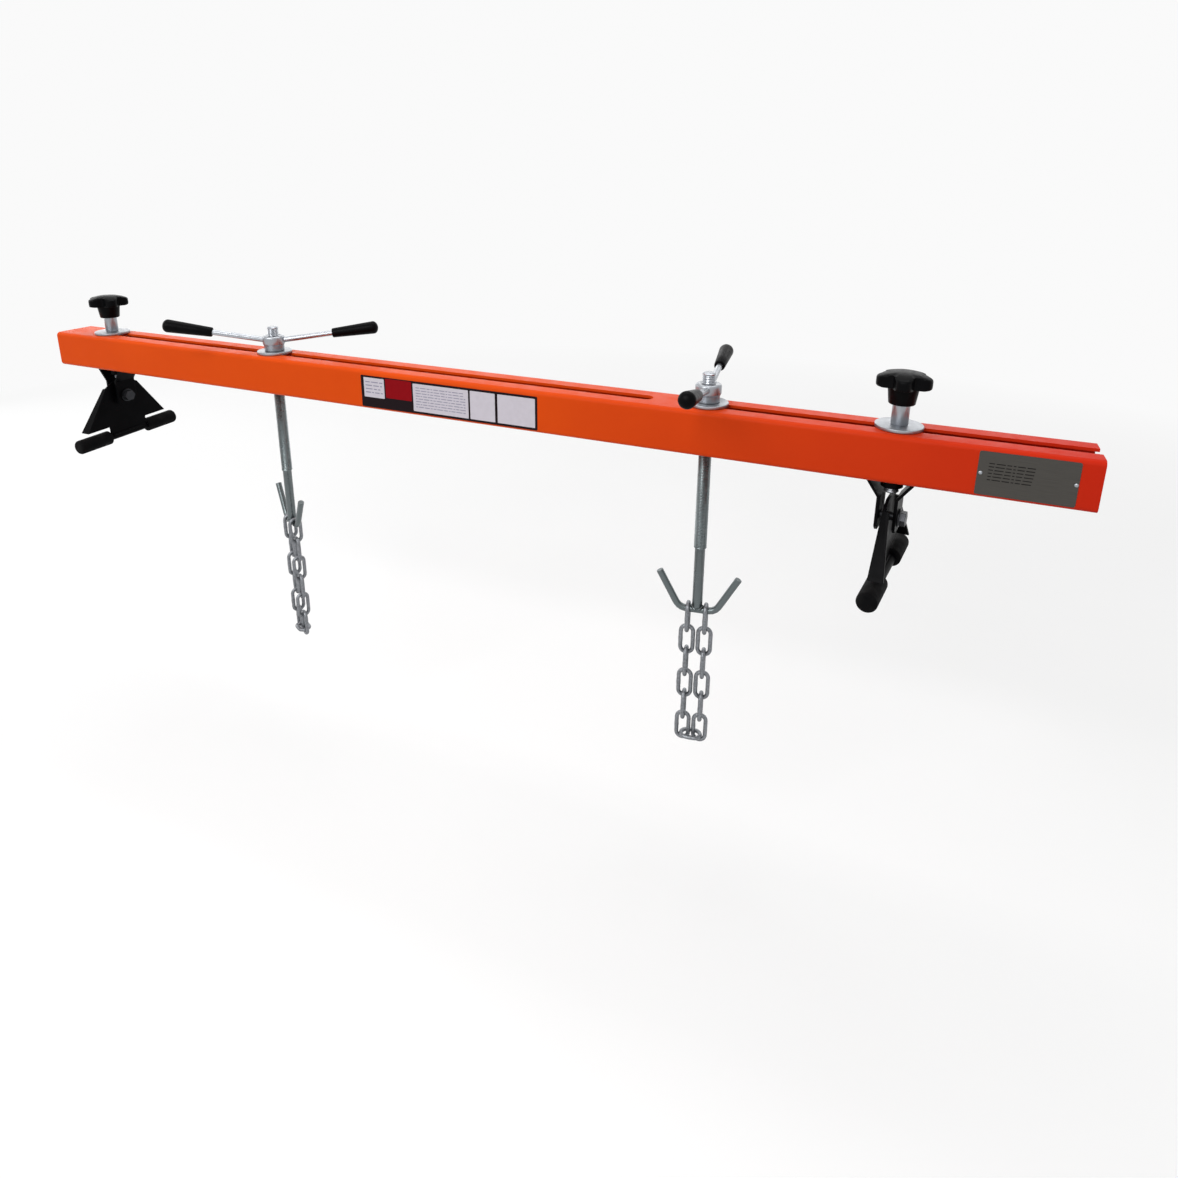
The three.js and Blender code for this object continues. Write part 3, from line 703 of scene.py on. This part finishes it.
def build_knob(side):
    """Star knob: crowned lobed rim that runs softly into its hub."""
    detail = bpy.context.scene.bar_detail
    low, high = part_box(f"{side}_star_knob")
    bottom, top = low.z, high.z
    hub_height = 0.019
    rim = bottom + hub_height
    # reach from the axis, height
    rows = [
        (0.0, bottom), (0.0132, bottom), (0.0140, bottom + 0.0008), (0.0160, rim - 0.0030),
        (0.0166, rim - 0.0010), (0.0182, rim), (0.0262, rim), (0.0284, rim + 0.0006),
        (0.0295, rim + 0.0016), (0.0300, rim + 0.0032), (0.0300, top - 0.0082), (0.0297, top - 0.0070),
        (0.0288, top - 0.0058), (0.0268, top - 0.0048), (0.0220, top - 0.0030), (0.0150, top - 0.0012),
        (0.0080, top - 0.0003), (0.0, top),
    ]
    rings = [knob_ring(reach, height, detail.knob_lobes, 120) for reach, height in rows]
    middle = centre(f"{side}_clamp_washer")
    turn = getattr(detail, f"knob_turn_{side}")
    place = Matrix.Translation((middle.x, middle.y, 0)) @ Matrix.Rotation(turn, 4, "Z")
    knob = rings_piece(f"{side}_star_knob_fine", rings, surface(black_plastic), place, 40)
    finish_piece(knob, f"{side}_clamp_knob", "black_plastic", f"{side}_star_knob")


def thread_surface(radius, depth, bottom, top, pitch, segments=32):
    """Rings of points that follow a V thread round a rod on the Z axis."""
    steps = int((top - bottom) / (pitch / 4))
    rows = []
    for i in range(steps + 1):
        z = bottom + (top - bottom) * i / steps
        fade = min(1, (z - bottom) / pitch, (top - z) / pitch)
        ring = []
        for j in range(segments):
            angle = 2 * math.pi * j / segments
            phase = (z / pitch - j / segments) % 1.0
            ridge = 1 - abs(2 * phase - 1)
            r = radius - depth * (1 - ridge) * fade
            ring.append((r * math.cos(angle), r * math.sin(angle), z))
        rows.append(ring)
    return rows


def rings_piece(name, rings, material, place, sharp_degrees=60):
    """A closed solid whose skin runs through rings of points."""
    columns = len(rings[0])
    verts = [point for ring in rings for point in ring]
    faces = grid_faces(len(rings), columns)
    faces.append(tuple(range(columns)))
    faces.append(tuple(range(len(verts) - columns, len(verts))))
    return mesh_piece(name, verts, faces, material, place, sharp_degrees)


def build_clamp(side):
    """Clamp stud with its shoulder and thread, and the washer under it."""
    detail = bpy.context.scene.bar_detail
    low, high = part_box(f"{side}_clamp_stud")
    washer_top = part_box(f"{side}_clamp_washer")[1].z
    middle = centre(f"{side}_clamp_stud")
    shoulder = (high.x - low.x) / 2
    thread, tip_cut, edge_cut = 0.008, 0.0015, 0.0006
    hub_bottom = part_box(f"{side}_star_knob")[0].z
    rings = [plain_ring(thread - tip_cut, low.z)]
    rings += thread_surface(thread, detail.thread_depth, low.z + tip_cut, washer_top - 0.001,
                            detail.thread_pitch)
    rings += [
        plain_ring(shoulder - edge_cut, washer_top + 0.0003), plain_ring(shoulder, washer_top + 0.0009),
        plain_ring(shoulder, hub_bottom - edge_cut), plain_ring(thread, hub_bottom - 0.0003),
        plain_ring(thread, high.z),
    ]
    place = Matrix.Translation((middle.x, middle.y, 0))
    stud = rings_piece(f"{side}_clamp_stud_threaded", rings, surface(bright_zinc), place)
    finish_piece(stud, f"{side}_clamp_knob", "bright_zinc", f"{side}_clamp_stud")
    build_washer(side, "clamp_washer", "support_carriage", detail.clamp_washer_radius)


def build_washer(side, word, body, radius):
    """Turned washer with rounded rims."""
    low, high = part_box(f"{side}_{word}")
    middle = centre(f"{side}_{word}")
    thick = high.z - low.z
    bore, round_radius = 0.0083, 0.0007
    profile = [(bore, 0)]
    profile += rounded_corner(radius, round_radius, round_radius, -90, 0, 4)
    profile += rounded_corner(radius, thick - round_radius, round_radius, 0, 90, 4)
    profile.append((bore, thick))
    place = Matrix.Translation((middle.x, middle.y, low.z))
    washer = lathe(f"{side}_{word}_fine", profile, surface(bright_zinc), place, 96)
    finish_piece(washer, f"{side}_{body}", "bright_zinc", f"{side}_{word}")


def weld_bead(name, path, radius, material, ripple=0.16):
    """A rippled bead along a list of points, thin at both ends."""
    rings = []
    last = len(path) - 1
    for i, point in enumerate(path):
        ahead = path[min(i + 1, last)] - path[max(i - 1, 0)]
        place = aim(point, ahead)
        taper = 0.35 if i in (0, last) else 1.0
        swell = radius * taper * (1 + ripple * math.sin(i * 1.9))
        rings.append([place @ Vector(corner) for corner in plain_ring(swell, 0, 10)])
    return rings_piece(name, rings, material, None)


def build_foot(side):
    """Bracket, pivot, folded foot, welds and rubber sleeves."""
    detail = bpy.context.scene.bar_detail
    coat = surface(black_powder_coat)
    bracket = dressed_copy(f"{side}_support_bracket", coat, detail.edge_round)
    finish_piece(bracket, f"{side}_bracket", "black_powder_coat", f"{side}_support_bracket")
    bolt = dressed_copy(f"{side}_pivot_bolt", surface(dark_steel), detail.edge_round)
    finish_piece(bolt, f"{side}_bracket", "black_powder_coat", f"{side}_pivot_bolt")
    foot = dressed_copy(f"{side}_foot_frame", coat, detail.edge_round)
    finish_piece(foot, f"{side}_foot", "black_powder_coat", f"{side}_foot_frame")
    front, back = centre(f"{side}_sleeve_front"), centre(f"{side}_sleeve_back")
    bar = (front + back) / 2
    along = (back - front).normalized()
    across = along.cross(UP).normalized()
    rise = across.cross(along)
    fold_side = 1 if side == "right" else -1
    seam_length, steps = 0.062, 30
    # name, place across the bar and above its axis
    for name, offset, height in (("fold", -0.0012, 0.0060), ("plain", -0.0048, 0.0038)):
        seam = bar + across * offset * fold_side + rise * height
        path = [seam + along * (t / steps - 0.5) * seam_length for t in range(steps + 1)]
        bead = weld_bead(f"{side}_foot_weld_{name}", path, detail.weld_radius, coat)
        finish_piece(bead, f"{side}_foot", "black_powder_coat")
    rubber = surface(black_rubber)
    for end, direction in (("front", -along), ("back", along)):
        build_sleeve(side, end, direction, bar, rubber)


def build_sleeve(side, end, direction, bar, rubber):
    """Pushed-on rubber sleeve with a rounded closed end and a thick open lip."""
    radius, start, stop = 0.0115, 0.0355, 0.090
    bore, bore_depth = 0.0061, 0.010
    lip_round, end_round = 0.0012, 0.0042
    profile = [(bore, start + bore_depth), (bore, start), (radius - lip_round, start)]
    profile += rounded_corner(radius, start + lip_round, lip_round, -90, 0, 3)
    profile += rounded_corner(radius, stop - end_round, end_round, 0, 90, 6)
    profile.append((0.0, stop))
    sleeve = lathe(f"{side}_sleeve_{end}_fine", profile, rubber, aim(bar, direction), 40)
    finish_piece(sleeve, f"{side}_foot", "black_rubber", f"{side}_sleeve_{end}")


# Pieces of the lifts


def build_handle(side):
    """Handle nut, washer, levers and tapered grips."""
    detail = bpy.context.scene.bar_detail
    zinc, lever_finish = surface(bright_zinc), surface(lever_zinc)
    build_washer(side, "slide_washer", "lift_carriage", detail.slide_washer_radius)
    low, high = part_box(f"{side}_handle_nut")
    hub = centre(f"{side}_handle_nut")
    nut = lathe(f"{side}_handle_nut_fine", nut_profile(high.z - low.z), zinc,
                Matrix.Translation((hub.x, hub.y, low.z)), 72, 50)
    finish_piece(nut, f"{side}_handle", "bright_zinc", f"{side}_handle_nut")
    plastic = surface(black_plastic)
    for word in ("one", "two"):
        rise = getattr(detail, f"lever_tilt_{word}")
        lever = centre(f"{side}_lever_{word}")
        grip = centre(f"{side}_grip_{word}")
        flat = Vector((grip.x - hub.x, grip.y - hub.y, 0)).normalized()
        direction = flat * math.cos(rise) + UP * math.sin(rise)
        reach = Vector((lever.x - hub.x, lever.y - hub.y, 0)).length
        origin = Vector((hub.x, hub.y, lever.z - reach * math.tan(rise)))
        place = aim(origin, direction)
        rod = lathe(f"{side}_lever_{word}_fine", lever_profile(), lever_finish, place, 32)
        finish_piece(rod, f"{side}_handle", "bright_zinc", f"{side}_lever_{word}")
        grip_piece = lathe(f"{side}_grip_{word}_fine", grip_profile(), plastic, place, 48)
        finish_piece(grip_piece, f"{side}_handle", "black_plastic", f"{side}_grip_{word}")


def lever_profile():
    """Straight rod from its seat in the nut to its end in the grip."""
    radius, start, end = 0.004, 0.0106, 0.1265
    return [(0, start), (radius, start), (radius, end), (0, end)]


def nut_profile(height):
    """Handle nut: straight foot, sloping shoulder, straight collar with a rounded crown."""
    bore, foot, collar = 0.0082, 0.0140, 0.0155
    foot_round, crown_round, bore_cut = 0.0008, 0.0032, 0.0012
    profile = [(bore, 0)]
    profile += rounded_corner(foot, foot_round, foot_round, -90, 0, 4)
    profile += [(foot, 0.0072), (0.0143, 0.0079), (0.0152, 0.0098), (collar, 0.0105)]
    profile += rounded_corner(collar, height - crown_round, crown_round, 0, 90, 7)
    profile += [(0.0096, height), (bore, height - bore_cut)]
    return profile


def grip_profile():
    """Tapered grip from its mouth on the lever to its domed end."""
    start, end, neck, wide = 0.085, 0.1525, 0.0070, 0.0095
    bore, bore_depth, lip, taper_length, dome_height = 0.0042, 0.004, 0.0014, 0.059, 0.0070
    profile = [
        (bore, start + bore_depth), (bore, start), (neck - 0.0012, start),
        (neck - 0.0004, start + 0.0005), (neck, start + lip),
    ]
    for share in (0.35, 0.7, 0.92):
        profile.append((neck + (wide - neck) * share, start + lip + taper_length * share))
    dome = end - dome_height
    for degrees in (0, 12, 25, 38, 50, 62, 73, 83):
        angle = math.radians(degrees)
        profile.append((wide * math.cos(angle), dome + (end - dome) * math.sin(angle)))
    profile.append((0, end))
    return profile


def build_screw(side):
    """Lifting screw with its thread and shank, the double hook and the weld between them."""
    detail = bpy.context.scene.bar_detail
    low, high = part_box(f"{side}_lifting_screw")
    middle = centre(f"{side}_lifting_screw")
    thread, shank, end_cut, tip_cut = 0.008, 0.0065, 0.0012, 0.0013
    thread_bottom = high.z - detail.thread_length
    rings = [plain_ring(shank, low.z), plain_ring(shank, thread_bottom - end_cut)]
    rings += thread_surface(thread, detail.thread_depth, thread_bottom, high.z - end_cut,
                            detail.thread_pitch)
    rings.append(plain_ring(thread - tip_cut, high.z))
    place = Matrix.Translation((middle.x, middle.y, 0))
    steel = surface(dull_zinc)
    screw = rings_piece(f"{side}_lifting_screw_threaded", rings, steel, place)
    finish_piece(screw, f"{side}_screw", "dull_zinc", f"{side}_lifting_screw")
    hook_edge = 0.0006
    hook = dressed_copy(f"{side}_double_hook", steel, hook_edge)
    finish_piece(hook, f"{side}_screw", "dull_zinc", f"{side}_double_hook")
    across = joint_axis(f"{side}_chain_a1_swing")
    depth = UP.cross(across)
    seam = Vector((middle.x, middle.y, low.z + 0.0006))
    steps, saddle_rise = 32, 0.0018
    path = []
    for i in range(steps + 1):
        angle = 2 * math.pi * i / steps
        path.append(seam + (across * math.cos(angle) + depth * math.sin(angle)) * shank
                    + UP * saddle_rise * math.cos(angle) ** 2)
    bead = weld_bead(f"{side}_hook_weld", path, detail.weld_radius * 0.8, steel)
    finish_piece(bead, f"{side}_screw", "dull_zinc")


def link_points(radius_bend, straight, wire, bend_steps=12, leg_steps=4, round_steps=12):
    """A welded link in the X-Z plane: two bends, two legs, and a small weld swelling on one leg."""
    line = []
    for half in (0, 1):
        turn = math.pi * half
        sign = 1 - 2 * half
        for i in range(bend_steps + 1):
            angle = turn + math.pi * i / bend_steps
            x = radius_bend * math.cos(angle)
            z = radius_bend * math.sin(angle) + sign * straight / 2
            line.append((Vector((x, 0, z)), angle, 0.0))
        for i in range(1, leg_steps):
            share = i / leg_steps
            swell = 0.10 * max(0, 1 - abs(share - 0.5) * 4) if half == 0 else 0.0
            leg = Vector((-sign * radius_bend, 0, sign * straight * (0.5 - share)))
            line.append((leg, turn + math.pi, swell))
    verts = []
    for point, angle, swell in line:
        out = Vector((math.cos(angle), 0, math.sin(angle)))
        for j in range(round_steps):
            a = 2 * math.pi * j / round_steps
            verts.append(point + (out * math.cos(a) + Vector((0, 1, 0)) * math.sin(a)) * wire * (1 + swell))
    return verts, grid_faces(len(line), round_steps, closed_rows=True)


def build_chain(side):
    """All links of one chain loop."""
    steel = surface(galvanised_chain)
    across = joint_axis(f"{side}_chain_a1_swing")
    depth = UP.cross(across)
    bend, wire, plain_leg, closing_leg = 0.008, 0.00275, 0.0226, 0.0096
    plain_link = link_points(bend, plain_leg, wire)
    closing_link = link_points(bend, closing_leg, wire)
    links = [(f"{side}_chain_closing", closing_link, (depth, UP, across))]
    for letter in "ab":
        for i in range(1, 7):
            axes = (depth, -across, UP) if i % 2 == 1 else (across, depth, UP)
            links.append((f"{side}_chain_{letter}{i}", plain_link, axes))
    for name, (verts, faces), axes in links:
        turn = Matrix(axes).transposed().to_4x4()
        link = mesh_piece(f"{name}_fine", verts, faces, steel, Matrix.Translation(centre(name)) @ turn)
        finish_piece(link, name, "galvanised_chain", name)


# Stage


def build_camera():
    """Camera fitted to the photograph."""
    stage = bpy.context.scene.bar_stage
    forward = Vector((-math.sin(stage.yaw), math.cos(stage.yaw), 0))
    right = Vector((math.cos(stage.yaw), math.sin(stage.yaw), 0))
    down = forward * math.cos(stage.pitch) - UP * math.sin(stage.pitch)
    up = UP * math.cos(stage.pitch) + forward * math.sin(stage.pitch)
    rolled_right = right * math.cos(stage.roll) + up * math.sin(stage.roll)
    rolled_up = up * math.cos(stage.roll) - right * math.sin(stage.roll)
    data = bpy.data.cameras.new("photo_camera")
    data.lens = stage.lens
    data.sensor_width = 36
    data.shift_y = stage.shift_y
    data.clip_start = 0.01
    camera = bpy.data.objects.new("photo_camera", data)
    bpy.context.collection.objects.link(camera)
    turn = Matrix((rolled_right, rolled_up, -down)).transposed().to_4x4()
    camera.matrix_world = Matrix.Translation(stage.camera_place) @ turn
    bpy.context.scene.camera = camera


def build_light(name, power, size, place, target):
    """A soft rectangular light that shines at a target."""
    data = bpy.data.lights.new(name, "AREA")
    data.shape = "RECTANGLE"
    data.size, data.size_y = size
    data.energy = power
    light = bpy.data.objects.new(name, data)
    bpy.context.collection.objects.link(light)
    light.matrix_world = aim(Vector(place), Vector(place) - Vector(target), Vector((1, 0, 0)))


def background_rays(tree):
    """1 for the rays that see the background: camera, glossy and transmission rays."""
    path = tree.nodes.new("ShaderNodeLightPath")
    rays = path.outputs["Is Camera Ray"]
    for kind in ("Is Glossy Ray", "Is Transmission Ray"):
        either = tree.nodes.new("ShaderNodeMath")
        either.operation = "MAXIMUM"
        tree.links.new(rays, either.inputs[0])
        tree.links.new(path.outputs[kind], either.inputs[1])
        rays = either.outputs["Value"]
    return rays


def build_world():
    """White behind the object, and a soft light from all round that is weaker on the right."""
    stage = bpy.context.scene.bar_stage
    world = bpy.data.worlds.new("studio")
    world.use_nodes = True
    tree = world.node_tree
    tree.nodes.clear()
    seen = tree.nodes.new("ShaderNodeBackground")
    seen.inputs["Color"].default_value = (stage.white, stage.white, stage.white, 1)
    light = tree.nodes.new("ShaderNodeBackground")
    light.inputs["Color"].default_value = (1, 1, 1, 1)
    direction = tree.nodes.new("ShaderNodeTexCoord")
    split = tree.nodes.new("ShaderNodeSeparateXYZ")
    tree.links.new(direction.outputs["Generated"], split.inputs["Vector"])
    evenness = spread(tree, split.outputs["X"], stage.sky * 1.5, stage.sky * 0.4, -0.6, 0.8)
    tree.links.new(evenness, light.inputs["Strength"])
    choose = tree.nodes.new("ShaderNodeMixShader")
    output = tree.nodes.new("ShaderNodeOutputWorld")
    tree.links.new(background_rays(tree), choose.inputs[0])
    tree.links.new(light.outputs["Background"], choose.inputs[1])
    tree.links.new(seen.outputs["Background"], choose.inputs[2])
    tree.links.new(choose.outputs["Shader"], output.inputs["Surface"])
    bpy.context.scene.world = world


def pale_floor(tree, shader):
    """Pale floor near the object that runs out into the white of the background."""
    stage = bpy.context.scene.bar_stage
    cloud = spread(tree, noise(tree, 1.5, 2), 0.0, 1.0)
    tree.links.new(mixed(tree, cloud, (0.61, 0.61, 0.61), (0.63, 0.63, 0.63)), shader.inputs["Base Color"])
    shader.inputs["Roughness"].default_value = 0.9
    shader.inputs["Specular IOR Level"].default_value = 0.0
    seen = background_rays(tree)
    shader.inputs["Emission Color"].default_value = (1, 1, 1, 1)
    tree.links.new(spread(tree, seen, 0.0, stage.floor_glow, 0, 1), shader.inputs["Emission Strength"])
    white = tree.nodes.new("ShaderNodeEmission")
    white.inputs["Color"].default_value = (stage.white, stage.white, stage.white, 1)
    tree.links.new(spread(tree, seen, stage.sky, 1.0, 0, 1), white.inputs["Strength"])
    place = tree.nodes.new("ShaderNodeTexCoord")
    length = tree.nodes.new("ShaderNodeVectorMath")
    length.operation = "LENGTH"
    tree.links.new(place.outputs["Object"], length.inputs[0])
    distance = spread(tree, length.outputs["Value"], 0.0, 1.0, stage.fade_start, stage.fade_end)
    choose = tree.nodes.new("ShaderNodeMixShader")
    tree.links.new(distance, choose.inputs[0])
    tree.links.new(shader.outputs["BSDF"], choose.inputs[1])
    tree.links.new(white.outputs["Emission"], choose.inputs[2])
    tree.links.new(choose.outputs["Shader"], tree.nodes["Material Output"].inputs["Surface"])


def build_floor():
    """Round floor with its centre under the object."""
    stage = bpy.context.scene.bar_stage
    bm = bmesh.new()
    bmesh.ops.create_circle(bm, cap_ends=True, segments=96, radius=stage.floor_radius)
    mesh = bpy.data.meshes.new("floor")
    bm.to_mesh(mesh)
    bm.free()
    mesh.materials.append(surface(pale_floor))
    floor = add_object("floor", mesh)
    floor.location.z = stage.floor_z


# Operators


class SUPPORTBAR_OT_beam(Operator):
    """Build the painted beam with its label and plate"""

    bl_idname = "supportbar.beam"
    bl_label = "Build Beam"

    def execute(self, context):
        build_beam()
        build_label()
        build_plate()
        return {"FINISHED"}


class SUPPORTBAR_OT_supports(Operator):
    """Build both clamped supports with their feet"""

    bl_idname = "supportbar.supports"
    bl_label = "Build Supports"

    def execute(self, context):
        for side in SIDES:
            build_knob(side)
            build_clamp(side)
            build_foot(side)
        return {"FINISHED"}


class SUPPORTBAR_OT_lifts(Operator):
    """Build both screw lifts with their hooks"""

    bl_idname = "supportbar.lifts"
    bl_label = "Build Lifts"

    def execute(self, context):
        for side in SIDES:
            build_handle(side)
            build_screw(side)
        return {"FINISHED"}


class SUPPORTBAR_OT_chains(Operator):
    """Build both chain loops"""

    bl_idname = "supportbar.chains"
    bl_label = "Build Chains"

    def execute(self, context):
        for side in SIDES:
            build_chain(side)
        return {"FINISHED"}


class SUPPORTBAR_OT_stage(Operator):
    """Set the floor, light and camera"""

    bl_idname = "supportbar.stage"
    bl_label = "Set Stage"

    def execute(self, context):
        stage = context.scene.bar_stage
        build_floor()
        build_world()
        for name, size, place, target in LAMPS:
            build_light(name, getattr(stage, f"{name}_power"), size, place, target)
        build_camera()
        context.scene.view_settings.view_transform = "Standard"
        return {"FINISHED"}


class SUPPORTBAR_PT_panel(Panel):
    """Sidebar panel of the support bar"""

    bl_label = "Support Bar"
    bl_space_type = "VIEW_3D"
    bl_region_type = "UI"
    bl_category = "Support Bar"

    def draw(self, context):
        layout = self.layout
        for operator in OPERATORS:
            layout.operator(operator.bl_idname)
        for group in (context.scene.bar_finish, context.scene.bar_detail, context.scene.bar_stage):
            box = layout.box()
            for name in group.__annotations__:
                box.prop(group, name)


GROUPS = {"bar_finish": BarFinish, "bar_detail": BarDetail, "bar_stage": BarStage}
OPERATORS = (SUPPORTBAR_OT_beam, SUPPORTBAR_OT_supports, SUPPORTBAR_OT_lifts, SUPPORTBAR_OT_chains,
             SUPPORTBAR_OT_stage)


def register():
    for name, group in GROUPS.items():
        bpy.utils.register_class(group)
        setattr(bpy.types.Scene, name, PointerProperty(type=group))
    for cls in (*OPERATORS, SUPPORTBAR_PT_panel):
        bpy.utils.register_class(cls)


def unregister():
    for cls in (SUPPORTBAR_PT_panel, *reversed(OPERATORS)):
        bpy.utils.unregister_class(cls)
    for name, group in GROUPS.items():
        delattr(bpy.types.Scene, name)
        bpy.utils.unregister_class(group)


def main():
    """Builds everything in order."""
    register()
    bpy.ops.supportbar.beam()
    bpy.ops.supportbar.supports()
    bpy.ops.supportbar.lifts()
    bpy.ops.supportbar.chains()
    bpy.ops.supportbar.stage()


if __name__ == "__main__":
    main()
